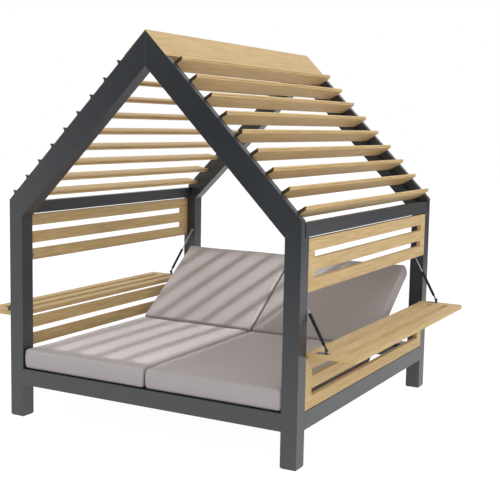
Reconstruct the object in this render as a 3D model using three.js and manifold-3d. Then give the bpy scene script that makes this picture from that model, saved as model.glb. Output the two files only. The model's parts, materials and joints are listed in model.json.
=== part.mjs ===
// Outdoor daybed with a louvred, house-shaped canopy
//
// Millimetres, +Z up. The origin is on the floor under the middle of the bed.
// -Y is the front, where people get in, and +X is the right-hand side.

import * as THREE from 'three';
import { mergeVertices } from 'three/addons/utils/BufferGeometryUtils.js';
import Module from 'manifold-3d';

const wasm = await Module();
wasm.setup();

// House frame

const frameWidth = 2040;
const frameDepth = 2084;
const kneeHeight = 1380;
const roofSlope = THREE.MathUtils.degToRad(45);
const legWidth = 100;
const legDepth = 94;
const kneeDrop = 100;
const outerMemberDepth = 43;
const footPadHeight = 6;
const footPadInset = 4;
const tubeWall = 3;
const kneeOpeningDrop = 6;

// Rails

const railBottom = 208;
const railHeight = 103;
const sideRailDepth = 50;
const ledgeWidth = 25;
const ledgeThickness = 5;
const bearerWidth = 40;
const bearerHeight = 39.5;
const eaveRailKneeGap = 19;
const eaveRailHeight = 75;
const eaveRailDepth = 51;
const eaveRailInset = 56;

// Slatted side panels and flaps, all of one pattern

const panelBoards = 3;
const panelBoard = 71;
const panelSlot = 41;
const panelEndWidth = 80;
const panelThickness = 28;
const panelBevel = 12;
const lowerPanelGap = 4;
const upperPanelGap = 11;
const flapSideGap = 4;
const flapPivotRise = 23.5;
const flapHeadroom = 10;
const flapEdgeOffset = 17.5;
const flapArmWidth = 8;
const flapArmHeight = 18;
const flapArmReach = 40;
const flapPinRadius = 5;
const flapPinGrip = 10;

// Gas struts

const strutInset = 23;
const strutAnchorInset = 90;
const strutAnchorHeight = 1025;
const strutPanelGap = 12;
const strutFootReach = 126.5;
const strutFootRise = 34.5;
const strutEyeRadius = 8;
const strutEyeWidth = 12;
const strutPinRadius = 4;
const strutTubeRadius = 9.5;
const strutTubeShare = 0.543;
const strutFittingRadius = 5;
const strutFittingLength = 33;
const strutTubeEndWall = 5;
const strutRodRadius = 4;
const strutRodGrip = 6.6;
const bracketLength = 70;
const bracketWidth = 30;
const bracketPlate = 3;
const bracketLug = 5;

// Louvres and ridge

const louvresPerSide = 9;
const louvreWidth = 117;
const louvreThickness = 20;
const louvreLip = 7;
const louvreStep = 10;
const louvreTopPlace = 252;
const louvreEaveRoom = 59.3;
const louvreAxisDepth = 6;
const louvrePinRadius = 4;
const louvrePinLength = 14;
const rightLouvreTilt = THREE.MathUtils.degToRad(32);
const leftLouvreTilt = THREE.MathUtils.degToRad(10.5);
const ridgeCapReach = 204;
const ridgeCapThickness = 3;

// Seat deck, hinged backrests and their stays

const deckRise = 5;
const deckThickness = 25;
const deckMember = 40;
const deckBehindSeat = 10;
const slatThickness = 12;
const deckSlatWidth = 60;
const deckSlatGap = 26;
const backSlatWidth = 50;
const backSlatGap = 40;
const backrestAngle = THREE.MathUtils.degToRad(36.5);
const hingeBehindSeat = 14.6;
const hingeRodRadius = 6;
const hingeRodOverhang = 4;
const hingeEarThickness = 8;
const hingeEarGap = 1;
const hingeEarReach = 11;
const backrestTube = 25;
const backrestSideInset = 28;
const backrestCrossPlace = 50;
const backrestEndGap = 7;
const stayPivotPlace = 300;
const stayPivotDepth = 24;
const stayLength = 350;
const stayWidth = 20;
const stayThickness = 8;
const stayEyeRadius = 9;
const stayFootRadius = 8;
const stayFootLength = 80;
const stayFootGap = 1.6;
const stayEarThickness = 8;

// Cushions

const cushionFrontInset = 2;
const cushionSideGap = 2;
const cushionSplit = 4;
const seatCushionLength = 1276;
const seatCushionThickness = 120;
const backCushionLength = 797;
const backCushionThickness = 105;
const backCushionGap = 3;
const cushionRadius = 16;
const cushionCrown = 7;
const cushionDraw = 4;
const cushionGridSteps = { across: 8, along: 10, up: 2 };

// Gaps, overruns and facets

const fit = 0.3;
const holeGap = 0.6;
const holeEndGap = 2;
const overrun = 5;
const smallFacets = 10;
const roundFacets = 16;
const snapStep = 0.001;
const countSlack = 0.001;

// Places worked out from the sizes above

const halfWidth = frameWidth / 2;
const halfDepth = frameDepth / 2;
const apexHeight = kneeHeight + halfWidth * Math.tan(roofSlope);
const legInnerX = halfWidth - legWidth;
const legInnerY = halfDepth - legDepth;
const railTop = railBottom + railHeight;
const bearerTop = railBottom + bearerHeight;
const deckTop = railTop + deckRise;
const deckBottom = deckTop - deckThickness;
const eaveRailBottom = kneeHeight - eaveRailKneeGap - eaveRailHeight;
const panelHeight = boardsHeight(panelBoards);
const flapPivotHeight = railTop + lowerPanelGap + panelHeight + flapPivotRise;
const panelInnerX = halfWidth - panelThickness;
const flapPivotX = halfWidth - panelThickness / 2;
const strutY = legInnerY - strutInset;
const seatRear = -halfDepth + cushionFrontInset + seatCushionLength;
const seatTop = deckTop + fit + seatCushionThickness;
const deckRear = seatRear - deckBehindSeat;
const hingeY = seatRear + hingeBehindSeat;
const hingeZ = deckTop - backrestTube / 2;
const cushionWidth = legInnerX - cushionSideGap - cushionSplit / 2;
const cushionCentreX = (legInnerX - cushionSideGap + cushionSplit / 2) / 2;
const backrestHalfSpan = cushionWidth / 2 - backrestSideInset;

// A row of boards with slots between them, and how many boards fit under the eaves

function boardsHeight(count) {
  return count * panelBoard + (count - 1) * panelSlot;
}

// Struts lean outwards from their anchors on the legs to their feet on the flaps
const strutAnchorX = halfWidth - strutAnchorInset;
const strutFootX = flapPivotX + strutFootReach;
const strutFootZ = flapPivotHeight + strutFootRise;
const strutRun = strutAnchorX - strutFootX;
const strutRise = strutAnchorHeight - strutFootZ;
const strutLength = Math.hypot(strutRun, strutRise);
const strutLean = Math.atan2(strutRun, strutRise);
const strutTubeEnd = strutLength * strutTubeShare;

// The upper panel hangs under the eave rail, and ends above the folded flap and clear of the struts
const upperPanelTop = eaveRailBottom - upperPanelGap;
const foldedFlapTop = flapPivotHeight + flapEdgeOffset + panelHeight;
const strutPassHeight = strutFootZ
  + strutRise * (panelInnerX - strutPanelGap - strutFootX) / strutRun;
const upperPanelLimit = Math.max(foldedFlapTop + flapHeadroom, strutPassHeight);
const upperPanelSpace = (upperPanelTop - upperPanelLimit + panelSlot) / (panelBoard + panelSlot);
const upperPanelBoards = Math.max(1, Math.floor(upperPanelSpace + countSlack));

// Materials

const colours = {
  metal: { color: 0x3f444a, roughness: 0.45, metalness: 0.4 },
  wood: { color: 0xd6b88a, roughness: 0.6, metalness: 0 },
  steel: { color: 0xc8cacc, roughness: 0.25, metalness: 0.9 },
  tube: { color: 0x141416, roughness: 0.4, metalness: 0.2 },
  fabric: { color: 0xa59e9e, roughness: 0.9, metalness: 0 },
};

// Helpers: solids, and joining and cutting them

// Faces meant to lie in one plane must land there exactly, or joining them leaves slivers
function snapped(value) {
  return Math.round(value / snapStep) * snapStep;
}

function toManifold(geometry) {
  const bare = geometry.clone();
  bare.deleteAttribute('normal');
  bare.deleteAttribute('uv');
  const merged = mergeVertices(bare);
  const mesh = new wasm.Mesh({
    numProp: 3,
    vertProperties: merged.attributes.position.array.map(snapped),
    triVerts: new Uint32Array(merged.index.array),
  });
  return new wasm.Manifold(mesh);
}

function toGeometry(manifold) {
  const mesh = manifold.getMesh();
  const geometry = new THREE.BufferGeometry();
  geometry.setAttribute('position', new THREE.BufferAttribute(mesh.vertProperties, 3));
  geometry.setIndex(new THREE.BufferAttribute(mesh.triVerts, 1));
  geometry.computeVertexNormals();
  return geometry;
}

function join(pieces) {
  return toGeometry(pieces.map(toManifold).reduce((sum, piece) => sum.add(piece)));
}

function cut(geometry, tools) {
  return toGeometry(tools.map(toManifold).reduce((rest, tool) => rest.subtract(tool), toManifold(geometry)));
}

// A box between two values on each axis, in either order
function block([x0, x1], [y0, y1], [z0, z1]) {
  const geometry = new THREE.BoxGeometry(Math.abs(x1 - x0), Math.abs(y1 - y0), Math.abs(z1 - z0));
  return geometry.translate((x0 + x1) / 2, (y0 + y1) / 2, (z0 + z1) / 2);
}

// An outline of [x, z] points, stretched along Y
function prismAlongY(outline, y0, y1) {
  const shape = new THREE.Shape(outline.map(([x, z]) => new THREE.Vector2(x, z)));
  const depth = Math.abs(y1 - y0);
  const geometry = new THREE.ExtrudeGeometry(shape, { depth, bevelEnabled: false });
  return geometry.rotateX(Math.PI / 2).translate(0, Math.max(y0, y1), 0);
}

function rodAlongY(radius, x, z, y0, y1, facets = smallFacets) {
  const geometry = new THREE.CylinderGeometry(radius, radius, Math.abs(y1 - y0), facets);
  return geometry.translate(x, (y0 + y1) / 2, z);
}

function rodAlongX(radius, y, z, x0, x1, facets = roundFacets) {
  const geometry = new THREE.CylinderGeometry(radius, radius, Math.abs(x1 - x0), facets);
  return geometry.rotateZ(Math.PI / 2).translate((x0 + x1) / 2, y, z);
}

function rodAlongZ(radius, z0, z1, facets = roundFacets) {
  const geometry = new THREE.CylinderGeometry(radius, radius, z1 - z0, facets);
  return geometry.rotateX(Math.PI / 2).translate(0, 0, (z0 + z1) / 2);
}

const daybed = new THREE.Group();

function addPart(name, geometry, look, parent = daybed) {
  const mesh = new THREE.Mesh(geometry, new THREE.MeshStandardMaterial(colours[look]));
  mesh.name = name;
  parent.add(mesh);
}

// A turned or moved group, standing at a place
function placedGroup(x, y, z, turnX = 0, turnY = 0) {
  const group = new THREE.Group();
  group.position.set(x, y, z);
  group.rotation.set(turnX, turnY, 0);
  daybed.add(group);
  return group;
}

const sides = { left: -1, right: 1 };
const ends = { front: -1, rear: 1 };

// Roof geometry: down is measured from the ridge along the slope, out is square to the slope

function roofPoint(side, down, out) {
  const x = down * Math.cos(roofSlope) + out * Math.sin(roofSlope);
  const z = apexHeight - down * Math.sin(roofSlope) + out * Math.cos(roofSlope);
  return [side * x, z];
}

const roofLength = halfWidth / Math.cos(roofSlope);
const louvrePitch = (roofLength - louvreTopPlace - louvreEaveRoom) / (louvresPerSide - 1);
const carrierDrop = eaveRailDepth / Math.cos(roofSlope);
const rafterFace = legWidth * Math.sin(roofSlope) + kneeDrop * Math.cos(roofSlope);
const innerKneePlace = roofLength - legWidth * Math.cos(roofSlope) + kneeDrop * Math.sin(roofSlope);

// Place down the slope of a point on the knee joint that lies under the roof line
function kneeJoint(depth) {
  return THREE.MathUtils.lerp(roofLength, innerKneePlace, depth / rafterFace) - fit;
}

// Place down the slope of a point on the ridge joint that lies under the roof line
function ridgeJoint(depth) {
  return depth * Math.tan(roofSlope) + fit;
}

function louvrePlace(number) {
  return roofPoint(1, louvreTopPlace + (number - 1) * louvrePitch, -louvreAxisDepth);
}

// Legs: square tube on a foot pad, open at the knee, with a lower inner part for the eave rail

function makeLeg(side, end) {
  const outerY = end * halfDepth;
  const memberY = end * (halfDepth - outerMemberDepth);
  const innerY = end * legInnerY;
  const pegX = halfWidth - eaveRailDepth - fit;
  const pegHeight = kneeHeight - kneeDrop + (pegX - legInnerX) * kneeDrop / legWidth;
  const outerOutline = [
    [side * legInnerX, footPadHeight],
    [side * halfWidth, footPadHeight],
    [side * halfWidth, kneeHeight],
    [side * legInnerX, kneeHeight - kneeDrop],
  ];
  const innerOutline = [
    [side * legInnerX, footPadHeight],
    [side * halfWidth, footPadHeight],
    [side * halfWidth, eaveRailBottom - fit],
    [side * pegX, eaveRailBottom - fit],
    [side * pegX, pegHeight],
    [side * legInnerX, kneeHeight - kneeDrop],
  ];
  const footPad = block(
    [side * (legInnerX + footPadInset), side * (halfWidth - footPadInset)],
    [outerY - end * footPadInset, innerY + end * footPadInset],
    [0, footPadHeight + overrun]);
  const boreX = [side * (legInnerX + tubeWall), side * (halfWidth - tubeWall)];
  const bore = block(boreX,
    [end * (legInnerY + tubeWall), end * (halfDepth - tubeWall)],
    [footPadHeight + tubeWall, kneeHeight - kneeDrop - kneeOpeningDrop]);
  const kneeOpening = block(boreX,
    [memberY + end * tubeWall, end * (halfDepth - tubeWall)],
    [kneeHeight - kneeDrop - kneeOpeningDrop - overrun, kneeHeight + overrun]);
  const pinHole = rodAlongY(flapPinRadius + holeGap, side * flapPivotX, flapPivotHeight,
    innerY - end * overrun, innerY + end * (flapPinGrip + holeEndGap));
  const solid = join([
    prismAlongY(outerOutline, outerY, memberY),
    prismAlongY(innerOutline, outerY - end * outerMemberDepth / 2, innerY),
    footPad,
  ]);
  return cut(solid, [pinHole, bore, kneeOpening]);
}

// Rafters: a full outer tube with a lower carrier tube behind it, drilled for the louvre pivots

function makeRafter(side, end) {
  const outerY = end * halfDepth;
  const memberY = end * (halfDepth - outerMemberDepth);
  const innerY = end * legInnerY;
  const band = (top) => [
    roofPoint(side, ridgeJoint(top), -top),
    roofPoint(side, kneeJoint(top), -top),
    roofPoint(side, kneeJoint(rafterFace), -rafterFace),
    roofPoint(side, ridgeJoint(rafterFace), -rafterFace),
  ];
  const bore = (top) => [
    roofPoint(side, -overrun, -top),
    roofPoint(side, roofLength + overrun, -top),
    roofPoint(side, roofLength + overrun, tubeWall - rafterFace),
    roofPoint(side, -overrun, tubeWall - rafterFace),
  ];
  const holes = [
    prismAlongY(bore(tubeWall), end * (halfDepth - tubeWall), memberY + end * tubeWall),
    prismAlongY(bore(carrierDrop + tubeWall), memberY, innerY + end * tubeWall),
  ];
  for (let number = 1; number <= louvresPerSide; number++) {
    const [x, z] = louvrePlace(number);
    holes.push(rodAlongY(louvrePinRadius + holeGap, side * x, z,
      memberY - end * overrun, memberY + end * louvrePinLength));
  }
  const solid = join([
    prismAlongY(band(0), outerY, memberY),
    prismAlongY(band(carrierDrop), outerY - end * outerMemberDepth / 2, innerY),
  ]);
  return cut(solid, holes);
}

for (const [sideName, side] of Object.entries(sides)) {
  for (const [endName, end] of Object.entries(ends)) {
    addPart(`${endName}_${sideName}_leg`, makeLeg(side, end), 'metal');
    addPart(`${endName}_${sideName}_rafter`, makeRafter(side, end), 'metal');
  }
}

// Rails: eaves, bed sides, bed ends and the two bearers under the deck

// A box tube that is open at both ends, between two values on each axis
function boxTube(xs, ys, zs, lengthAxis) {
  const ranges = [xs, ys, zs];
  const inner = ranges.map(([low, high], axis) => {
    const change = axis === lengthAxis ? -overrun : tubeWall;
    return [low + change, high - change];
  });
  return cut(block(...ranges), [block(...inner)]);
}

function ordered(first, second) {
  return [Math.min(first, second), Math.max(first, second)];
}

function makeEaveRail(side) {
  const reach = halfDepth - eaveRailInset;
  return boxTube(
    ordered(side * (halfWidth - eaveRailDepth), side * halfWidth),
    [-reach, reach],
    [eaveRailBottom, eaveRailBottom + eaveRailHeight],
    1);
}

function makeSideRail(side) {
  const reach = legInnerY - fit;
  const innerX = halfWidth - sideRailDepth;
  const ledgeTop = deckBottom - fit;
  return join([
    boxTube(ordered(side * innerX, side * halfWidth), [-reach, reach], [railBottom, railTop], 1),
    block(
      [side * (innerX - ledgeWidth), side * (innerX + tubeWall / 2)],
      [-reach, reach],
      [ledgeTop - ledgeThickness, ledgeTop]),
  ]);
}

function makeBedRail(end) {
  const reach = legInnerX - fit;
  const ledgeTop = deckBottom - fit;
  return join([
    boxTube([-reach, reach], ordered(end * legInnerY, end * halfDepth), [railBottom, railTop], 0),
    block(
      [-reach, reach],
      [end * (legInnerY - ledgeWidth), end * (legInnerY + tubeWall / 2)],
      [ledgeTop - ledgeThickness, ledgeTop]),
  ]);
}

// The bearers are high under the deck, and low behind it, where the prop stays stand on them
function makeBearer(side) {
  const middle = side * cushionCentreX;
  const acrossX = [middle - bearerWidth / 2, middle + bearerWidth / 2];
  const reach = legInnerY - fit;
  const start = -legInnerY + ledgeWidth + fit;
  return join([
    boxTube(acrossX, [-reach, reach], [railBottom, bearerTop], 1),
    block(acrossX, [start, deckRear], [bearerTop - tubeWall / 2, deckBottom - fit]),
  ]);
}

for (const [sideName, side] of Object.entries(sides)) {
  addPart(`${sideName}_eave_rail`, makeEaveRail(side), 'metal');
  addPart(`${sideName}_side_rail`, makeSideRail(side), 'metal');
  addPart(`${sideName}_bearer`, makeBearer(side), 'metal');
}
for (const [endName, end] of Object.entries(ends)) {
  addPart(`${endName}_bed_rail`, makeBedRail(end), 'metal');
}

// Ridge cap: one folded sheet over both slopes

function makeRidgeCap() {
  const inner = fit;
  const outer = fit + ridgeCapThickness;
  const outline = [
    roofPoint(-1, ridgeCapReach, outer),
    roofPoint(-1, ridgeCapReach, inner),
    roofPoint(1, -inner * Math.tan(roofSlope), inner),
    roofPoint(1, ridgeCapReach, inner),
    roofPoint(1, ridgeCapReach, outer),
    roofPoint(1, -outer * Math.tan(roofSlope), outer),
  ];
  return prismAlongY(outline, -halfDepth, halfDepth);
}

addPart('ridge_cap', makeRidgeCap(), 'wood');

// Louvres: boards with a stepped lip along both edges, each on two end pivots

function makeLouvre(side) {
  const half = louvreWidth / 2;
  const top = louvreThickness / 2;
  const reach = halfDepth - outerMemberDepth - holeEndGap;
  const outline = [
    [-half, -top],
    [half - louvreLip, -top],
    [half - louvreLip, -top + louvreStep],
    [half, -top + louvreStep],
    [half, top],
    [-half + louvreLip, top],
    [-half + louvreLip, top - louvreStep],
    [-half, top - louvreStep],
  ].map(([x, z]) => [side * x, z]);
  const pinEnd = reach + louvrePinLength;
  return join([
    prismAlongY(outline, -reach, reach),
    rodAlongY(louvrePinRadius, 0, 0, -pinEnd, -reach + overrun),
    rodAlongY(louvrePinRadius, 0, 0, reach - overrun, pinEnd),
  ]);
}

const louvreTilts = { left: leftLouvreTilt, right: rightLouvreTilt };

for (const [sideName, side] of Object.entries(sides)) {
  for (let number = 1; number <= louvresPerSide; number++) {
    const [x, z] = louvrePlace(number);
    const group = placedGroup(side * x, 0, z, 0, -side * louvreTilts[sideName]);
    addPart(`${sideName}_louvre_${number}`, makeLouvre(side), 'wood', group);
  }
}

// Slatted boards: boards and slots between solid ends, laid in the XY plane from x = 0

function slattedBoard(boards, reach, thickness) {
  const end = reach - panelEndWidth;
  const slots = [];
  for (let count = 1; count < boards; count++) {
    const start = boardsHeight(count);
    slots.push(block([start, start + panelSlot], [-end, end], [-overrun, thickness + overrun]));
  }
  return cut(block([0, boardsHeight(boards)], [-reach, reach], [0, thickness]), slots);
}

// A fixed panel stands on its long edge between the legs, flush with their outer faces.
// Its inner lower edge is bevelled, which leaves the struts room to swing.
function makePanel(side, boards, bottom) {
  const board = slattedBoard(boards, legInnerY - fit, panelThickness);
  board.rotateY(-Math.PI / 2);
  board.translate(side > 0 ? halfWidth : -panelInnerX, 0, bottom);
  const bevel = [
    [side * (panelInnerX - overrun), bottom - overrun],
    [side * (panelInnerX + panelBevel + overrun), bottom - overrun],
    [side * (panelInnerX - overrun), bottom + panelBevel + overrun],
  ];
  return cut(board, [prismAlongY(bevel, -halfDepth, halfDepth)]);
}

// A flap is the same board laid flat outside the legs, with an arm and a pin at each end
function makeFlap(side) {
  const reach = legInnerY - flapSideGap;
  const startX = flapPivotX + flapEdgeOffset;
  const bottom = flapPivotHeight - panelThickness / 2;
  const top = bottom + panelThickness;
  const board = slattedBoard(panelBoards, reach, panelThickness);
  if (side < 0) board.rotateZ(Math.PI);
  board.translate(side * startX, 0, bottom);
  const pieces = [board];
  for (const end of Object.values(ends)) {
    pieces.push(...flapHinge(side, end, reach, startX), ...strutBracket(side, end, top));
  }
  return join(pieces);
}

function flapHinge(side, end, reach, startX) {
  const armX = flapPivotX - flapArmHeight / 2;
  return [
    block(
      [side * armX, side * (startX + flapArmReach)],
      [end * (reach - flapArmWidth), end * reach],
      [flapPivotHeight - flapArmHeight / 2, flapPivotHeight + flapArmHeight / 2]),
    rodAlongY(flapPinRadius, side * flapPivotX, flapPivotHeight,
      end * (reach - flapArmWidth / 2), end * (legInnerY + flapPinGrip)),
  ];
}

// A plate, an upright lug and the pin that the strut's eye turns on
function strutBracket(side, end, top) {
  const eyeFace = strutY + strutEyeWidth / 2 + fit;
  const plateEnd = strutFootX + strutEyeRadius + overrun;
  return [
    block(
      [side * (plateEnd - bracketLength), side * plateEnd],
      [end * (eyeFace + bracketLug), end * (eyeFace + bracketLug - bracketWidth)],
      [top - bracketPlate, top + bracketPlate]),
    block(
      [side * (strutFootX - strutEyeRadius), side * (strutFootX + strutEyeRadius)],
      [end * eyeFace, end * (eyeFace + bracketLug)],
      [top - bracketPlate, strutFootZ + strutEyeRadius]),
    rodAlongY(strutPinRadius, side * strutFootX, strutFootZ,
      end * (strutY - strutEyeWidth / 2), end * (eyeFace + bracketLug / 2)),
  ];
}

for (const [sideName, side] of Object.entries(sides)) {
  const upperBottom = upperPanelTop - boardsHeight(upperPanelBoards);
  addPart(`${sideName}_lower_panel`, makePanel(side, panelBoards, railTop + lowerPanelGap), 'wood');
  addPart(`${sideName}_upper_panel`, makePanel(side, upperPanelBoards, upperBottom), 'wood');
  addPart(`${sideName}_flap`, makeFlap(side), 'wood');
}

// Gas struts: the tube turns on the flap, and the rod slides in it towards the leg's anchor

function makeStrutTube() {
  const solid = join([
    rodAlongY(strutEyeRadius, 0, 0, -strutEyeWidth / 2, strutEyeWidth / 2, roundFacets),
    rodAlongZ(strutFittingRadius, strutPinRadius + holeGap + overrun / 2, strutFittingLength + overrun),
    rodAlongZ(strutTubeRadius, strutFittingLength, strutTubeEnd),
  ]);
  return cut(solid, [
    rodAlongY(strutPinRadius + holeGap, 0, 0, -strutEyeWidth, strutEyeWidth),
    rodAlongZ(strutRodRadius + fit, strutFittingLength + strutTubeEndWall, strutTubeEnd + overrun),
  ]);
}

// The rod's eye carries the anchor pin, which ends just short of the leg's face
function makeStrutRod(end) {
  const pinEnd = end * (strutInset - fit);
  return join([
    rodAlongY(strutPinRadius, 0, strutLength, 0, pinEnd, roundFacets),
    rodAlongZ(strutRodRadius, strutTubeEnd - strutRodGrip, strutLength - strutPinRadius),
    rodAlongY(strutEyeRadius, 0, strutLength, -strutEyeWidth / 2, strutEyeWidth / 2, roundFacets),
  ]);
}

for (const [sideName, side] of Object.entries(sides)) {
  for (const [endName, end] of Object.entries(ends)) {
    const group = placedGroup(side * strutFootX, end * strutY, strutFootZ, 0, side * strutLean);
    addPart(`${sideName}_${endName}_strut_tube`, makeStrutTube(), 'tube', group);
    addPart(`${sideName}_${endName}_strut_rod`, makeStrutRod(end), 'steel', group);
  }
}

// Seat deck: a frame with cross slats, hung on the rails' ledges and the bearers

function spread(first, last, width, gap) {
  const count = Math.floor((last - first + gap) / (width + gap));
  const pitch = (last - first - width) / (count - 1);
  return Array.from({ length: count }, (_, index) => first + index * pitch);
}

function makeDeck() {
  const reachX = halfWidth - sideRailDepth - fit;
  const front = -legInnerY + fit;
  const pieces = [
    block([-reachX, reachX], [front, front + deckMember], [deckBottom, deckTop]),
    block([-reachX, reachX], [deckRear - deckMember, deckRear], [deckBottom, deckTop]),
  ];
  const holes = [];
  for (const side of Object.values(sides)) {
    const middle = side * cushionCentreX;
    pieces.push(
      block([side * reachX, side * (reachX - deckMember)], [front, deckRear], [deckBottom, deckTop]),
      block(
        [middle - deckMember / 2, middle + deckMember / 2],
        [front, deckRear],
        [deckBottom, deckTop - slatThickness / 2]));
    for (const earX of hingeEars(side)) {
      pieces.push(block(
        [earX - hingeEarThickness / 2, earX + hingeEarThickness / 2],
        [deckRear - overrun, hingeY + hingeEarReach],
        [deckBottom, hingeZ + hingeEarReach]));
    }
  }
  for (const y of spread(front + deckMember + deckSlatGap, deckRear - deckMember - deckSlatGap,
    deckSlatWidth, deckSlatGap)) {
    pieces.push(block([-reachX, reachX], [y, y + deckSlatWidth], [deckTop - slatThickness, deckTop]));
  }
  holes.push(rodAlongX(hingeRodRadius + holeGap, hingeY, hingeZ, -reachX, reachX));
  return cut(join(pieces), holes);
}

// Middles of the two ears beside the outer tubes of one backrest
function hingeEars(side) {
  const offset = backrestHalfSpan - backrestTube - hingeEarGap - hingeEarThickness / 2;
  return [side * (cushionCentreX - offset), side * (cushionCentreX + offset)];
}

function makeHingeRod() {
  const reach = cushionCentreX + backrestHalfSpan + hingeRodOverhang;
  return rodAlongX(hingeRodRadius, hingeY, hingeZ, -reach, reach);
}

addPart('seat_deck', makeDeck(), 'metal');
addPart('backrest_hinge_rod', makeHingeRod(), 'steel');

// Backrests: tube frames that turn on the hinge rod, drawn flat from the hinge and then tilted

function makeBackrest() {
  const halfSpan = backrestHalfSpan;
  const half = backrestTube / 2;
  const crossEnd = backrestCrossPlace + backrestTube;
  const length = legInnerY - backrestEndGap - hingeY;
  const pieces = [
    block([-halfSpan, halfSpan], [length - backrestTube, length], [-half, half]),
    block([-halfSpan, halfSpan], [backrestCrossPlace, crossEnd], [-half, half]),
    block([-halfSpan, halfSpan], [stayPivotPlace - half, stayPivotPlace + half], [-half, half]),
  ];
  const holes = [];
  for (const side of Object.values(sides)) {
    const outer = side * halfSpan;
    const inner = side * (halfSpan - backrestTube);
    pieces.push(
      block([outer, inner], [0, length], [-half, half]),
      rodAlongX(half, 0, 0, outer, inner),
      ...stayEar(side));
    holes.push(rodAlongX(hingeRodRadius + holeGap, 0, 0, outer + side * overrun, inner - side * overrun));
  }
  for (const y of spread(crossEnd + backSlatGap, length - backrestTube - backSlatGap,
    backSlatWidth, backSlatGap)) {
    pieces.push(block([-halfSpan, halfSpan], [y, y + backSlatWidth], [half - slatThickness, half]));
  }
  pieces.push(rodAlongX(strutPinRadius, stayPivotPlace, -stayPivotDepth,
    -stayWidth / 2 - stayEarThickness / 2, stayWidth / 2 + stayEarThickness / 2, smallFacets));
  return cut(join(pieces), holes);
}

function stayEar(side) {
  const face = stayWidth / 2 + fit;
  return [block(
    [side * face, side * (face + stayEarThickness)],
    [stayPivotPlace - stayEyeRadius, stayPivotPlace + stayEyeRadius],
    [-stayPivotDepth - stayEyeRadius, 0])];
}

// Prop stays: a bar from the backrest down and back to a round foot over the bearer

const stayPivotRise = stayPivotPlace * Math.sin(backrestAngle) - stayPivotDepth * Math.cos(backrestAngle);
const stayPivotRun = stayPivotPlace * Math.cos(backrestAngle) + stayPivotDepth * Math.sin(backrestAngle);
const stayDrop = hingeZ + stayPivotRise - (bearerTop + stayFootGap + stayFootRadius);
const stayAngle = -Math.asin(stayDrop / stayLength);

function makeStay() {
  const solid = join([
    rodAlongX(stayEyeRadius, 0, 0, -stayWidth / 2, stayWidth / 2),
    block([-stayWidth / 2, stayWidth / 2], [0, stayLength], [-stayThickness / 2, stayThickness / 2]),
    rodAlongX(stayFootRadius, stayLength, 0, -stayFootLength / 2, stayFootLength / 2),
  ]);
  return cut(solid, [rodAlongX(strutPinRadius + holeGap, 0, 0, -stayWidth, stayWidth, smallFacets)]);
}

// Cushions: foam blocks with rounded edges, a crowned top and sides drawn in at the seams

// A back cushion starts just past the seat cushion's upper rear edge, measured along the backrest
const seatEdgePlace = (seatRear - hingeY) * Math.cos(backrestAngle)
  + (seatTop - hingeZ) * Math.sin(backrestAngle);
const backCushionRaise = seatEdgePlace + backCushionGap;

// Places across one side of a cushion: three close ones at each rounded edge, the rest even
function gridPlaces(half, middleSteps) {
  const edge = cushionRadius * Math.tan(Math.PI / 8);
  const flat = half - cushionRadius;
  const middle = Array.from({ length: middleSteps + 1 }, (_, i) => flat * (2 * i / middleSteps - 1));
  return [-half, -flat - edge, ...middle, flat + edge, half];
}

function makeCushion(width, length, thickness) {
  const halves = [width / 2, length / 2, thickness / 2];
  const grids = Object.values(cushionGridSteps).map((steps, axis) => gridPlaces(halves[axis], steps));
  const counts = grids.map((grid) => grid.length - 1);
  const geometry = new THREE.BoxGeometry(1, 1, 1, ...counts);
  const position = geometry.attributes.position;
  for (let index = 0; index < position.count; index++) {
    const unit = [position.getX(index), position.getY(index), position.getZ(index)];
    const place = unit.map((value, axis) => grids[axis][Math.round((value + 1 / 2) * counts[axis])]);
    const core = place.map((value, axis) => {
      const limit = halves[axis] - cushionRadius;
      return THREE.MathUtils.clamp(value, -limit, limit);
    });
    const outward = new THREE.Vector3(...place).sub(new THREE.Vector3(...core)).setLength(cushionRadius);
    const point = new THREE.Vector3(...core).add(outward);
    const [across, along, level] = [point.x / halves[0], point.y / halves[1], point.z / halves[2]];
    const crown = cushionCrown * (1 - across ** 2) * (1 - along ** 2) * Math.max(level, 0);
    const draw = cushionDraw * level ** 2;
    point.x -= draw * across;
    point.y -= draw * along;
    point.z += crown;
    position.setXYZ(index, point.x, point.y, point.z);
  }
  geometry.deleteAttribute('normal');
  geometry.deleteAttribute('uv');
  const merged = mergeVertices(geometry);
  merged.computeVertexNormals();
  return merged.translate(0, length / 2, thickness / 2);
}

for (const [sideName, side] of Object.entries(sides)) {
  const centreX = side * cushionCentreX;
  const seatGroup = placedGroup(centreX, seatRear - seatCushionLength, deckTop + fit);
  addPart(`${sideName}_seat_cushion`,
    makeCushion(cushionWidth, seatCushionLength, seatCushionThickness), 'fabric', seatGroup);

  const backGroup = placedGroup(centreX, hingeY, hingeZ, backrestAngle);
  addPart(`${sideName}_backrest`, makeBackrest(), 'metal', backGroup);
  const backCushion = makeCushion(cushionWidth, backCushionLength, backCushionThickness);
  backCushion.translate(0, backCushionRaise, backrestTube / 2 + fit);
  addPart(`${sideName}_back_cushion`, backCushion, 'fabric', backGroup);

  const stayGroup = placedGroup(centreX, hingeY + stayPivotRun, hingeZ + stayPivotRise, stayAngle);
  addPart(`${sideName}_prop_stay`, makeStay(), 'steel', stayGroup);
}

export default daybed;
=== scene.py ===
# %% [markdown]
# # A garden daybed under a louvred roof
# This lesson dresses a finished CAD model for a picture. The metal, the boards and the
# struts keep the shapes they were engineered with, and get materials that have grain
# and texture. The four cushions are made anew, as stuffed cloth.
# Everything is in metres, with Z up and the open front of the bed towards -Y.

# %% Load the engineered model
import json
import math

import bmesh
import bpy
from mathutils import Matrix, Vector, noise


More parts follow.
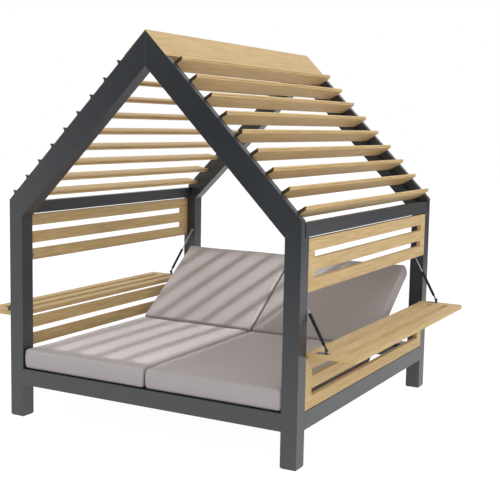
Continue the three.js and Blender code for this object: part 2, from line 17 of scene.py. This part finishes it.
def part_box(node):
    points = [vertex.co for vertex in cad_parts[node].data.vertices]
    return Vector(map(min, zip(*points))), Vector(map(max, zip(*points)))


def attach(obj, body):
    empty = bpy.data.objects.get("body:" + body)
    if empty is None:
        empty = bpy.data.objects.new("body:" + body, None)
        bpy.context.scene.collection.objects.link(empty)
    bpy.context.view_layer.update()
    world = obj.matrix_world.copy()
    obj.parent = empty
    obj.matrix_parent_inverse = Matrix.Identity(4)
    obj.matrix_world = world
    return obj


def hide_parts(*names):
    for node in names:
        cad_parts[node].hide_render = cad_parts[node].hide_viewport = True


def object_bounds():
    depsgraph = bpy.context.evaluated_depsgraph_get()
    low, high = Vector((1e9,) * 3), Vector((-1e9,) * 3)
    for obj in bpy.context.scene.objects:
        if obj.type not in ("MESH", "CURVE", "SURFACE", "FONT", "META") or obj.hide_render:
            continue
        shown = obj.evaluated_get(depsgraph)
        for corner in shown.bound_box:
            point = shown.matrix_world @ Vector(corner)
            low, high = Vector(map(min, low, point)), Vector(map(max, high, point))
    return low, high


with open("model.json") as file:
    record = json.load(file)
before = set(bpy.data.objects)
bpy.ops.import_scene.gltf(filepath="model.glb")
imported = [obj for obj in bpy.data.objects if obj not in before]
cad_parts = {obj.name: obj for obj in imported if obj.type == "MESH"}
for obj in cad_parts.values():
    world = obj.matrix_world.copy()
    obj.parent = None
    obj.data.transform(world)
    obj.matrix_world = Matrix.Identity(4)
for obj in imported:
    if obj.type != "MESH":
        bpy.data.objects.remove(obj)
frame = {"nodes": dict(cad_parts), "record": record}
cad_box = [list(corner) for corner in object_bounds()]
nodes = frame["nodes"]
record = frame["record"]
print("nodes:", len(nodes), "box:", cad_box)

# %% [markdown]
# ## The camera
# The camera stands where the photographer stood: in front of the bed and to its right,
# a little above eye height. A long lens keeps the far legs nearly as tall as the near
# ones. The photo was cropped off centre, which the shift values repeat, and the
# horizon leans by a degree or so.

# %% Camera
SENSOR_WIDTH = 36.0
FOCAL_LENGTH = 70.09
SHIFT_RIGHT = -0.089
SHIFT_UP = -0.0326
camera_place = Vector((3.2955, -5.6622, 1.8943))
looking = Vector((-0.44558, 0.88815, -0.11248)).normalized()
horizon_lean = math.radians(1.378)

level_right = looking.cross(Vector((0, 0, 1))).normalized()
level_up = level_right.cross(looking)
right = level_right * math.cos(horizon_lean) + level_up * math.sin(horizon_lean)
up = right.cross(looking)

lens = bpy.data.cameras.new("camera")
lens.sensor_width = SENSOR_WIDTH
lens.lens = FOCAL_LENGTH
lens.shift_x = SHIFT_RIGHT
lens.shift_y = SHIFT_UP
camera = bpy.data.objects.new("camera", lens)
turn = Matrix((right, up, -looking)).transposed().to_4x4()
camera.matrix_world = Matrix.Translation(camera_place) @ turn
bpy.context.collection.objects.link(camera)
bpy.context.scene.camera = camera
print("camera distance:", round(camera_place.length, 2))

# %% [markdown]
# ## Writing materials as sums
# A material is a graph of nodes. Wired by hand, even a simple formula fills the screen,
# so here a small class stands for one output of a node, and Python's own + - * add the
# Math nodes. A second class holds a graph and adds every other kind of node to it, and a
# third is a graph that ends in one material.

# %% A value that arithmetic can extend
class Value:
    """One output socket of a node; arithmetic on it adds Math nodes."""

    def __init__(self, graph, socket):
        self.graph = graph
        self.socket = socket

    def maths(self, operation, *others):
        return self.graph.add("Math", dict(enumerate((self, *others))), operation=operation)

    def __add__(self, other):
        return self.maths("ADD", other)

    def __sub__(self, other):
        return self.maths("SUBTRACT", other)

    def __mul__(self, other):
        return self.maths("MULTIPLY", other)

    def __rsub__(self, other):
        return self.graph.add("Math", {0: other, 1: self}, operation="SUBTRACT")

    __radd__ = __add__
    __rmul__ = __mul__


# %% A graph of nodes under construction
class Graph:
    """The nodes of one material or of the world."""

    def __init__(self, owner):
        owner.use_nodes = True
        self.tree = owner.node_tree

    def connect(self, node, sockets):
        for key, value in sockets.items():
            if isinstance(value, Value):
                self.tree.links.new(value.socket, node.inputs[key])
            else:
                node.inputs[key].default_value = value

    def add(self, kind, sockets=None, output=0, stops=None, **settings):
        node = self.tree.nodes.new("ShaderNode" + kind)
        for name, value in settings.items():
            setattr(node, name, value)
        for number, (place, colour) in enumerate(stops or []):
            elements = node.color_ramp.elements
            element = elements[number] if number < 2 else elements.new(place)
            element.position = place
            element.color = (*colour, 1)
        self.connect(node, sockets or {})
        return Value(self, node.outputs[output])

    def place(self, scale=(1, 1, 1)):
        """Position on the piece, in metres, stretched by a scale on each axis."""
        here = self.add("TexCoord", output="Object")
        return self.add("Mapping", {"Vector": here, "Scale": scale})

    def cloud(self, vector, scale, detail=2.0, distortion=0.0):
        sockets = {"Vector": vector, "Scale": scale, "Detail": detail, "Distortion": distortion}
        return self.add("TexNoise", sockets, output="Fac")

    def blend(self, factor, first, second, mode="MIX"):
        full = [v if isinstance(v, Value) else (*v, 1) for v in (first, second)]
        sockets = {0: factor, 6: full[0], 7: full[1]}
        return self.add("Mix", sockets, output=2, data_type="RGBA", blend_type=mode)

    def bump(self, height, distance, strength=1.0, normal=None):
        sockets = {"Height": height, "Distance": distance, "Strength": strength}
        if normal:
            sockets["Normal"] = normal
        return self.add("Bump", sockets)


# %% One material
class Paint(Graph):
    """A material whose nodes feed one Principled shader."""

    def __init__(self, name):
        self.material = bpy.data.materials.new(name)
        super().__init__(self.material)
        self.shader = self.tree.nodes["Principled BSDF"]

    def finish(self, **sockets):
        self.connect(self.shader, {key.replace("_", " "): value for key, value in sockets.items()})
        return self.material


def from_screen(red, green, blue):
    """A screen colour from 0 to 255, as the linear light that a shader expects."""
    scaled = [value / 255 for value in (red, green, blue)]
    return tuple(v / 12.92 if v <= 0.04045 else ((v + 0.055) / 1.055) ** 2.4 for v in scaled)


# %% [markdown]
# ## Powder-coated metal
# The posts, rafters and rails are metal tube with a dark grey coat, baked on as powder.
# Such a coat has a fine orange-peel skin, dulls the light a little unevenly, and rounds
# every edge slightly. A Bevel node gives the shader that rounding, so a thin line of
# light runs along each corner although the model's edges are sharp.

# %% Powder coat
COAT_EDGE = 0.003
COAT_SKIN = 0.0002


def make_powder_coat():
    paint = Paint("powder_coat")
    broad = paint.cloud(paint.place(), 2.5)
    fine = paint.cloud(paint.place(), 700.0, detail=3.0)
    colour = paint.blend(broad, from_screen(34, 38, 43), from_screen(43, 47, 52))
    rounded = paint.add("Bevel", {"Radius": COAT_EDGE}, samples=6)
    skin = paint.bump(fine, COAT_SKIN, 0.5, rounded)
    return paint.finish(
        Base_Color=colour,
        Roughness=broad * 0.1 + 0.32,
        Specular_IOR_Level=0.9,
        Normal=skin,
    )


powder_coat = make_powder_coat()
print("made", powder_coat.name)

# %% [markdown]
# ## Pale wood
# The louvres, panels and flaps are of one pale, oiled wood, and the sheet over the ridge
# has the same look. The grain runs along the boards, from the front of the bed to the
# back. Noise that is stretched nearly thirty times that way looks like grain: one layer
# gives the bands of the growth rings, and finer ones the fibres and pores. A slow layer
# shifts the tone, so that no two boards look alike. The louvres are a little lighter, as
# painted light that stands for the light on their undersides. Their sawn ends are much
# darker, partly end grain and partly painted shade; the other boards' ends keep an
# end-grain tone. A mask finds the ends: there the surface faces along the grain.

# %% Wood
GRAIN_STRETCH = 0.035
WOOD_EDGE = 0.002
WOOD_RELIEF = 0.0004


def make_wood(name, end_grain_and_shade_tone, painted_light_lift=0):
    """Wood with a tone for its sawn ends, end grain with painted shade where that tone is dark; the
    lift lightens the rest in screen steps, as painted light.
    """
    paint = Paint(name)
    along = paint.place((1, GRAIN_STRETCH, 1))
    rings = paint.cloud(along, 110.0, detail=3.0, distortion=0.3)
    fibres = paint.cloud(along, 260.0, detail=4.0)
    pores = paint.cloud(paint.place((1, GRAIN_STRETCH / 2, 1)), 620.0, detail=2.0)
    tone = paint.cloud(paint.place((1, 0.1, 1)), 7.0)
    # The lift is painted light: it lightens every band, for light on the louvres' undersides.
    bands = paint.add("ValToRGB", {"Fac": rings}, stops=[
        (0.30, from_screen(178 + painted_light_lift, 151 + painted_light_lift, 104 + painted_light_lift)),
        (0.50, from_screen(194 + painted_light_lift, 168 + painted_light_lift, 121 + painted_light_lift)),
        (0.72, from_screen(205 + painted_light_lift, 180 + painted_light_lift, 135 + painted_light_lift)),
    ])
    streaks = paint.add("ValToRGB", {"Fac": fibres}, stops=[
        (0.35, (0.78, 0.73, 0.64)),
        (0.62, (1.0, 1.0, 1.0)),
    ])
    grained = paint.blend(0.55, bands, streaks, "MULTIPLY")
    toned = paint.blend(tone * 0.3, grained, from_screen(188, 155, 102))
    facing = paint.add("SeparateXYZ", {"Vector": paint.add("TexCoord", output="Normal")}, output="Y")
    # Sawn ends take their own tone: end grain, and on the louvres painted shade as well.
    board_end = facing.maths("ABSOLUTE").maths("GREATER_THAN", 0.9)
    colour = paint.blend(board_end, toned, end_grain_and_shade_tone)
    rounded = paint.add("Bevel", {"Radius": WOOD_EDGE}, samples=6)
    relief = paint.bump(fibres + pores * 0.6, WOOD_RELIEF, 0.5, rounded)
    return paint.finish(
        Base_Color=colour,
        Roughness=fibres * 0.2 + 0.5,
        Specular_IOR_Level=0.35,
        Normal=relief,
    )


pale_wood = make_wood("pale_wood", from_screen(190, 160, 112))
# The louvres' wood carries painted light: boards 12 screen steps lighter, and ends much darker,
# partly end grain and partly painted shade.
louvre_wood = make_wood("louvre_wood", from_screen(66, 50, 30), painted_light_lift=12)
print("made", pale_wood.name, louvre_wood.name)

# %% [markdown]
# ## Bright steel and black enamel
# The struts' rods, the hinge rod and the prop stays are bright steel, drawn through a
# die, which leaves fine lines. The struts' tubes are enamelled black, which is glossier
# than the frame's coat.

# %% Steel and enamel
FINE_RELIEF = 0.0001


def make_steel():
    paint = Paint("drawn_steel")
    lines = paint.cloud(paint.place((1, 1, 0.05)), 900.0)
    wear = paint.cloud(paint.place(), 12.0)
    colour = paint.blend(wear, from_screen(190, 192, 195), from_screen(214, 215, 217))
    return paint.finish(
        Base_Color=colour,
        Metallic=1.0,
        Roughness=lines * 0.15 + 0.2,
        Normal=paint.bump(lines, FINE_RELIEF, 0.3),
    )


def make_enamel():
    paint = Paint("black_enamel")
    cloud = paint.cloud(paint.place(), 30.0)
    skin = paint.cloud(paint.place(), 500.0)
    colour = paint.blend(cloud, from_screen(14, 14, 16), from_screen(22, 22, 24))
    return paint.finish(
        Base_Color=colour,
        Roughness=cloud * 0.1 + 0.25,
        Specular_IOR_Level=0.3,
        Normal=paint.bump(skin, FINE_RELIEF, 0.2),
    )


drawn_steel = make_steel()
black_enamel = make_enamel()
print("made", drawn_steel.name, black_enamel.name)

# %% [markdown]
# ## Woven cushion cloth
# The covers are of a greyish-brown outdoor cloth. Seen close, it is a plain weave with
# threads over a millimetre wide, and flecks of lighter and darker yarn. Three sets of
# waves, one along each axis of the cushion, draw the weave on its top and on its sides,
# and need no unwrapped surface.

# %% Cloth
THREAD_WIDTH = 0.0016
WEAVE_RELIEF = 0.0004


def make_cloth():
    paint = Paint("cushion_cloth")
    here = paint.place()
    apart = paint.add("SeparateXYZ", {"Vector": here})
    turns = math.pi / THREAD_WIDTH
    waves = []
    for axis in range(3):
        part = Value(paint, apart.socket.node.outputs[axis])
        waves.append((part * turns).maths("SINE"))
    weave = waves[0] * waves[1] + waves[2] * 0.7
    fibres = paint.cloud(paint.place(), 1400.0, detail=2.0)
    flecks = paint.cloud(paint.place(), 380.0, detail=3.0)
    broad = paint.cloud(paint.place(), 3.0)
    base = paint.blend(flecks, from_screen(153, 147, 147), from_screen(173, 166, 167))
    shaded = paint.blend(broad * 0.3, base, from_screen(150, 143, 144))
    relief = paint.bump(weave * 0.5 + fibres, WEAVE_RELIEF, 0.6)
    return paint.finish(
        Base_Color=shaded,
        Roughness=flecks * 0.1 + 0.85,
        Sheen_Weight=0.25,
        Sheen_Roughness=0.5,
        Specular_IOR_Level=0.25,
        Normal=relief,
    )


cushion_cloth = make_cloth()
print("made", cushion_cloth.name)

# %% [markdown]
# ## Dressing the engineered pieces
# The record says which finish each piece has. Going through that list dresses every
# piece in a few lines, and a piece that is added later can't be forgotten. The louvres
# are wood too, and get the kind with painted light: lighter boards, and painted shade
# over the end grain of their ends.

# %% Give each piece its finish
finishes = {
    "frame": powder_coat,
    "support": powder_coat,
    "wood": pale_wood,
    "steel": drawn_steel,
    "tube": black_enamel,
    "fabric": cushion_cloth,
}

for entry in record["subparts"]:
    mesh = nodes[entry["node"]].data
    mesh.materials.clear()
    # Louvres take the wood with painted light on the boards and painted shade on the ends.
    finish = louvre_wood if "louvre" in entry["node"] else finishes[entry["material_slot"]]
    mesh.materials.append(finish)
print("dressed", len(record["subparts"]), "pieces")

# %% [markdown]
# ## Metal brackets on the wooden flaps
# The struts stand on small brackets, which belong to the flaps' own pieces. They are all
# that rises over the boards, so the height at which most of the upward surface lies
# tells wood from metal.

# %% Give the brackets the frame's coat
LEVEL_ROOM = 0.0005


def board_level(mesh):
    """The height at which a mesh has most of its upward surface."""
    areas = {}
    for face in mesh.polygons:
        if face.normal.z > 0.99:
            level = round(face.center.z, 4)
            areas[level] = areas.get(level, 0.0) + face.area
    return max(areas, key=areas.get)


for side in ("left", "right"):
    mesh = nodes[side + "_flap"].data
    mesh.materials.append(powder_coat)
    boards = board_level(mesh)
    metal = [face for face in mesh.polygons if face.center.z > boards + LEVEL_ROOM]
    for face in metal:
        face.material_index = 1
    print(side, "boards at", boards, "metal faces:", len(metal))

# %% [markdown]
# ## The cushions' places
# Two cushions lie flat and two lean on the hinged backrests. The slide joint of a back
# cushion runs along its backrest, so its axis says how far the cushion leans. The
# cushion's own axes are then its width, its length and its thickness.

# %% Measure a cushion in its own axes
def lean_of(node):
    """How far a node leans back, from the joint that carries it; 0 if none does."""
    for joint in record["behaviour"]["joints"]:
        if joint["child"] == node:
            return math.atan2(joint["axis"][2], joint["axis"][1])
    return 0.0


def own_box(node, lean):
    """Lowest and highest corner of a node along axes that lean with it."""
    upright = Matrix.Rotation(-lean, 3, "X")
    points = [upright @ vertex.co for vertex in nodes[node].data.vertices]
    low = Vector(map(min, zip(*points)))
    high = Vector(map(max, zip(*points)))
    return low, high


for name in ("left_seat_cushion", "left_back_cushion"):
    low, high = own_box(name, lean_of(name))
    print(name, [round(v, 3) for v in high - low], round(math.degrees(lean_of(name)), 1))

# %% [markdown]
# ## A block of foam
# A cushion starts as a foam block with rounded edges, cut from a grid fine enough for
# cloth. A grid keeps its rows along the seams, where a remeshed surface would not. Each
# point of a plain box is moved onto the rounded block: first to the nearest point of a
# core that is smaller by the radius, and from there outwards by that radius.

# %% Grid places
CELL = 0.013
EDGE_RADIUS = 0.013
EDGE_STEPS = 3


def steps_along(half, radius):
    """Grid places across one side, with each rounded edge cut in equal angles."""
    rises = [math.tan(math.pi / 4 * step / EDGE_STEPS) for step in range(1, EDGE_STEPS + 1)]
    edge = [half - radius + radius * rise for rise in rises]
    count = max(2, round(2 * (half - radius) / CELL))
    flat = [(half - radius) * (2 * step / count - 1) for step in range(count + 1)]
    return [-place for place in reversed(edge)] + flat + edge


print("grid places across half a metre:", len(steps_along(0.25, EDGE_RADIUS)))

# %% Foam block
def round_point(point, halves, radius):
    """Where a point of the plain box goes on the rounded block."""
    core = Vector([max(-h + radius, min(h - radius, p)) for p, h in zip(point, halves)])
    outward = point - core
    if outward.length == 0:
        return point
    return core + outward.normalized() * radius


def foam_block(name, size, radius):
    """A closed grid of squares round a block, with its corners shared."""
    halves = [side / 2 for side in size]
    grids = [steps_along(half, radius) for half in halves]
    build = bmesh.new()
    made = {}

    def vertex(key):
        if key not in made:
            point = Vector([grid[k] for grid, k in zip(grids, key)])
            made[key] = build.verts.new(round_point(point, halves, radius))
        return made[key]

    for axis in range(3):
        across, along = [other for other in range(3) if other != axis]
        for end in (0, len(grids[axis]) - 1):
            for i in range(len(grids[across]) - 1):
                for j in range(len(grids[along]) - 1):
                    corners = []
                    for di, dj in ((0, 0), (1, 0), (1, 1), (0, 1)):
                        key = [0, 0, 0]
                        key[axis], key[across], key[along] = end, i + di, j + dj
                        corners.append(vertex(tuple(key)))
                    build.faces.new(corners)
    bmesh.ops.recalc_face_normals(build, faces=build.faces)
    mesh = bpy.data.meshes.new(name)
    build.to_mesh(mesh)
    build.free()
    piece = bpy.data.objects.new(name, mesh)
    bpy.context.collection.objects.link(piece)
    return piece


# %% [markdown]
# ## Stuffing the cover
# The cover of a cushion is a little too big for its foam, so the filling pushes it
# outwards and it bulges between its corners. Blender's cloth solver does the same when
# the block gets some pressure inside. A long cushion would swell into a balloon, so the
# movement is held to a few millimetres, and the underside stays flat where it rests on
# its slats. Then slow noise dents the top, as people do who sat on it.

# %% Blow up the cover a little
PRESSURE = 4.0
SWELL_LIMIT = 0.010
SIM_FRAMES = 20


def blown_up(piece):
    """Where the cloth solver takes each point of the piece."""
    cloth = piece.modifiers.new("cloth", "CLOTH")
    cloth.settings.quality = 4
    cloth.settings.mass = 0.3
    cloth.settings.tension_stiffness = 12
    cloth.settings.compression_stiffness = 12
    cloth.settings.shear_stiffness = 6
    cloth.settings.bending_stiffness = 0.8
    cloth.settings.use_pressure = True
    cloth.settings.uniform_pressure_force = PRESSURE
    cloth.settings.effector_weights.gravity = 0
    cloth.point_cache.frame_start = 1
    cloth.point_cache.frame_end = SIM_FRAMES
    scene = bpy.context.scene
    for number in range(1, SIM_FRAMES + 1):
        scene.frame_set(number)
    evaluated = piece.evaluated_get(bpy.context.evaluated_depsgraph_get())
    points = [vertex.co.copy() for vertex in evaluated.data.vertices]
    piece.modifiers.remove(cloth)
    scene.frame_set(1)
    return points


def limited(move, limit):
    """A move that fades towards a limit instead of stopping hard at it."""
    if move.length == 0:
        return move
    return move.normalized() * limit * math.tanh(move.length / limit)


# %% Dents and seams
DENT_DEPTH = 0.0035
DENTS_PER_METRE = 4.2
CREASES_PER_METRE = 13
SEAM_DEPTH = 0.0022
SEAM_WIDTH = 0.006
SEAM_INSET = EDGE_RADIUS * 0.45
RIM_WIDTH = EDGE_RADIUS * 1.1


def dent(point, seed):
    """How high the noise lifts a point of the top, or how deep it sinks it."""
    slow = noise.noise(Vector((point.x * DENTS_PER_METRE, point.y * DENTS_PER_METRE, seed)))
    quick = noise.noise(Vector((point.x * CREASES_PER_METRE, point.y * CREASES_PER_METRE, seed + 7)))
    return DENT_DEPTH * (slow + 0.25 * quick)


def seam_depth(point, halves):
    """How deep the seams along the upper and lower edges pull the cover in."""
    levels = (halves[2] - SEAM_INSET, -halves[2] + SEAM_INSET)
    nearest = min(abs(point.z - level) for level in levels)
    rim = max(abs(point.x) - halves[0], abs(point.y) - halves[1]) > -RIM_WIDTH
    return SEAM_DEPTH * math.exp(-((nearest / SEAM_WIDTH * 2) ** 2)) if rim else 0.0


# %% Shape one cushion
CROWN = 0.007
SIDE_PULL = 0.005
SIDE_SHARE = 0.5
TOP_SHARE = 0.4


def shape_cushion(piece, size, seed):
    """Crown, dent and seam a block, with a share of each move that the solver made."""
    halves = [side / 2 for side in size]
    rest = [vertex.co.copy() for vertex in piece.data.vertices]
    swollen = blown_up(piece)
    for vertex, start, end in zip(piece.data.vertices, rest, swollen):
        move = limited(end - start, SWELL_LIMIT)
        across, along = start.x / halves[0], start.y / halves[1]
        level = start.z / halves[2]
        centre = max(0.0, 1 - across**2) * max(0.0, 1 - along**2)
        pull = SIDE_PULL * level**2
        place = start + Vector((move.x, move.y, 0)) * SIDE_SHARE
        place.x -= pull * across
        place.y -= pull * along
        if level > 0:
            place.z += (CROWN * centre + dent(start, seed)) * level + max(0.0, move.z) * TOP_SHARE
        inward = Vector((-across, -along, 0))
        if inward.length:
            place += inward.normalized() * seam_depth(start, halves)
        place.x = max(-halves[0], min(halves[0], place.x))
        place.y = max(-halves[1], min(halves[1], place.y))
        vertex.co = place


# %% [markdown]
# ## Four cushions
# Each cushion is made lying flat about its own middle, and is then turned and carried to
# its place. The seat cushions ride on the frame. The back cushions ride on bodies of
# their own, which slide on the backrests. Faces are shaded smooth, and one level of
# subdivision takes the last corners off.

# %% Make the cushions
SIDE_ROOM = 0.001
SEED_STEP = 11.3


def make_cushion(node, body, seed):
    """The stuffed cover that takes the place of a node and moves with a body."""
    lean = lean_of(node)
    low, high = own_box(node, lean)
    size = high - low
    size.x -= 2 * SIDE_ROOM
    size.z -= CROWN
    middle = (low + high) / 2
    middle.z = low.z + size.z / 2
    piece = foam_block(node + "_cover", size, EDGE_RADIUS)
    shape_cushion(piece, size, seed)
    piece.data.polygons.foreach_set("use_smooth", [True] * len(piece.data.polygons))
    piece.data.materials.append(cushion_cloth)
    smooth = piece.modifiers.new("smooth", "SUBSURF")
    smooth.levels = smooth.render_levels = 1
    turned = Matrix.Rotation(lean, 4, "X")
    piece.matrix_world = Matrix.Translation(turned @ middle) @ turned
    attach(piece, body)
    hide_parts(node)
    return piece


cushions = []
for number, (name, body) in enumerate({
    "left_seat_cushion": "frame",
    "right_seat_cushion": "frame",
    "left_back_cushion": "left_back_cushion",
    "right_back_cushion": "right_back_cushion",
}.items()):
    cushions.append(make_cushion(name, body, number * SEED_STEP))
    print(name, "points:", len(cushions[-1].data.vertices))

# %% [markdown]
# ## Floor and background
# The photo has a plain white ground. A floor that only looks white needs bright lamps,
# which would wash out the bed. So the camera sees a floor that is mostly its own white
# light, with a little of the lit surface mixed in, and that little still shows the
# bed's soft shadow. The world is handled the same way. It is pure white to the camera
# and in reflections. Where it lights the bed it is brightest from above and the right,
# and darkest from the left.

# %% Floor
FLOOR_HALF = 30.0
FLOOR_TONE = 0.95
FLOOR_GLOW = 1.1
FLOOR_SHADOW_SHARE = 0.12


def seen_directly(graph):
    """1 for rays from the camera, and for those that it sees mirrored or through glass."""
    rays = graph.add("LightPath").socket.node.outputs
    seen = Value(graph, rays["Is Camera Ray"])
    for kind in ("Is Glossy Ray", "Is Transmission Ray"):
        seen = seen.maths("MAXIMUM", Value(graph, rays[kind]))
    return seen


def make_floor():
    mesh = bpy.data.meshes.new("floor")
    corners = [(x * FLOOR_HALF, y * FLOOR_HALF, 0) for x, y in ((-1, -1), (1, -1), (1, 1), (-1, 1))]
    mesh.from_pydata(corners, [], [(0, 1, 2, 3)])
    floor = bpy.data.objects.new("floor", mesh)
    bpy.context.collection.objects.link(floor)
    paint = Paint("studio_floor")
    paint.finish(Base_Color=(*[FLOOR_TONE] * 3, 1), Roughness=0.9, Specular_IOR_Level=0.1)
    white = paint.add("Emission", {"Color": (1, 1, 1, 1), "Strength": FLOOR_GLOW})
    share = seen_directly(paint) * (1 - FLOOR_SHADOW_SHARE)
    lit = Value(paint, paint.shader.outputs[0])
    both = paint.add("MixShader", {0: share, 1: lit, 2: white})
    paint.tree.links.new(both.socket, paint.tree.nodes["Material Output"].inputs["Surface"])
    mesh.materials.append(paint.material)


make_floor()
print("floor glow:", FLOOR_GLOW, "shadow share:", FLOOR_SHADOW_SHARE)

# %% World
DARK_SIDE = 0.4
BRIGHT_SIDE = 1.45
DARK_UP_TO = -0.7
BRIGHT_FROM = 0.9
BRIGHT_WAY = Vector((0.58, -0.1, 0.81)).normalized()


def make_world():
    world = bpy.data.worlds.new("studio")
    bpy.context.scene.world = world
    graph = Graph(world)
    way = graph.add("TexCoord", output="Generated")
    facing = graph.add("VectorMath", {0: way, 1: BRIGHT_WAY}, output="Value", operation="DOT_PRODUCT")
    level = graph.add("MapRange", {
        "Value": facing,
        "From Min": DARK_UP_TO,
        "From Max": BRIGHT_FROM,
        "To Min": DARK_SIDE,
        "To Max": BRIGHT_SIDE,
    })
    lighting = graph.add("Background", {"Color": (1, 1, 1, 1), "Strength": level})
    white = graph.add("Background", {"Color": (1, 1, 1, 1), "Strength": 1.0})
    share = seen_directly(graph)
    both = graph.add("MixShader", {0: share, 1: lighting, 2: white})
    graph.tree.links.new(both.socket, graph.tree.nodes["World Output"].inputs["Surface"])


make_world()
print("world light from", DARK_SIDE, "to", BRIGHT_SIDE)

# %% [markdown]
# ## The beam through the roof
# The stripes on the cushions say where the main light stands: square to the right-hand
# roof, so each gap between two louvres throws a band of light down to the left. A panel
# lamp with a narrow spread makes such a beam, as wide as the bed is deep and as long as
# the slope from the ridge cap to the knee. It lights the cushions alone, and the boards
# and rafters only cut it into bands. The rest of the light comes from the world.

# %% Place the beam
BEAM_WATTS = 8.5
BEAM_SPREAD = math.radians(2.8)
BEAM_ROOM = 2.5
BEAM_WAY = Vector((-1, 0.12, -1)).normalized()


def add_beam():
    """A panel lamp over the middle of the right-hand slope, which falls at 45 degrees."""
    knee, _, ridge_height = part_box("front_right_rafter")[1]
    cap_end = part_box("ridge_cap")[1].x
    across = (cap_end + knee) / 2
    roof_middle = Vector((across, 0, ridge_height - across))
    light = bpy.data.lights.new("beam", "AREA")
    light.shape = "RECTANGLE"
    light.size = cad_box[1][1] - cad_box[0][1]
    light.size_y = math.hypot(knee - cap_end, knee - cap_end)
    light.energy = BEAM_WATTS
    light.spread = BEAM_SPREAD
    lamp = bpy.data.objects.new("beam", light)
    bpy.context.collection.objects.link(lamp)
    along = Vector((0, 1, 0))
    up_slope = along.cross(BEAM_WAY).normalized()
    lamp.location = roof_middle - BEAM_WAY * BEAM_ROOM
    lamp.rotation_euler = Matrix((along, up_slope, -BEAM_WAY)).transposed().to_euler()
    lamp.visible_camera = False
    return lamp


beam = add_beam()
lit_by_beam = bpy.data.collections.new("lit_by_beam")
for piece in cushions:
    lit_by_beam.objects.link(piece)
beam.light_linking.receiver_collection = lit_by_beam
print("beam at", [round(v, 2) for v in beam.location])

# %% [markdown]
# ## Dark flags for the reflections
# The metal's coat mirrors a little of what stands around it. With white all around, each
# face would be one flat grey. Photographers stand dark flags beside a product, and these
# two do the same: a black one before the bed on the left, for the front faces, and a
# grey one behind it on the right, for the side faces. Low down the faces still mirror
# the bright floor, so they grow lighter towards their feet. Only reflections see the
# flags.

# %% Stand the flags
FLAG_HEIGHT = 4.5
WEAVE_CONTRAST = 8


def make_flag_cloth(name, tone):
    paint = Paint(name)
    weave = paint.cloud(paint.place(), 200.0)
    dark, light = [from_screen(*[grey] * 3) for grey in (tone, tone + WEAVE_CONTRAST)]
    colour = paint.blend(weave, dark, light)
    return paint.finish(Base_Color=colour, Roughness=0.95, Specular_IOR_Level=0.0)


def add_flag(name, left, right, cloth):
    """A dark upright sheet that stands on the floor between two places."""
    mesh = bpy.data.meshes.new(name)
    corners = [(*left, 0), (*right, 0), (*right, FLAG_HEIGHT), (*left, FLAG_HEIGHT)]
    mesh.from_pydata(corners, [], [(0, 1, 2, 3)])
    mesh.materials.append(cloth)
    flag = bpy.data.objects.new(name, mesh)
    bpy.context.collection.objects.link(flag)
    flag.visible_camera = False
    flag.visible_diffuse = False
    flag.visible_shadow = False
    flag.visible_transmission = False
    print(name, "from", left, "to", right)


add_flag("front_flag", (-3.6, -4.5), (0.8, -4.5), make_flag_cloth("black_flag", 8))
add_flag("rear_flag", (0.9, 6.0), (9.0, 6.0), make_flag_cloth("grey_flag", 120))

# %% Colour
bpy.context.scene.view_settings.view_transform = "Standard"
